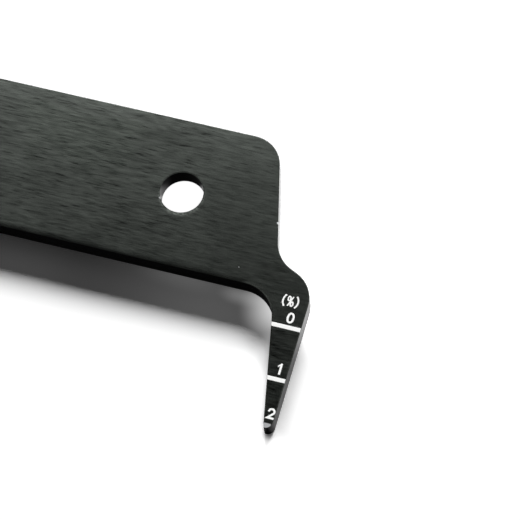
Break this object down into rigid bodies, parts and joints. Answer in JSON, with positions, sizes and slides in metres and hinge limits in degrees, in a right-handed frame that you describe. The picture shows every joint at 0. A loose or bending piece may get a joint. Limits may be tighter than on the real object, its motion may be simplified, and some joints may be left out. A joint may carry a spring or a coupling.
{
  "type": "chain wear gauge",
  "caption": "Flat black plate gauge with a hanging hole, a tapered graduated probe and a reference tooth, which shows how far a bicycle chain has stretched.",
  "frame": {"origin": "axis of the hanging hole, where it leaves the plain back face", "axes": "+X along the bar towards the graduated probe, +Y away from the probe, +Z out of the marked face; the plate lies on its back face"},
  "size_m": [0.1152, 0.0263, 0.002],
  "materials": {
    "black_anodised_plate": "black anodised over a brushed grain that runs along the bar",
    "white_marking": "matt white marking on the plate, in the lines and figures"
  },
  "bodies": {
    "root": {"gauge_plate": "black_anodised_plate"}
  },
  "joints": []
}
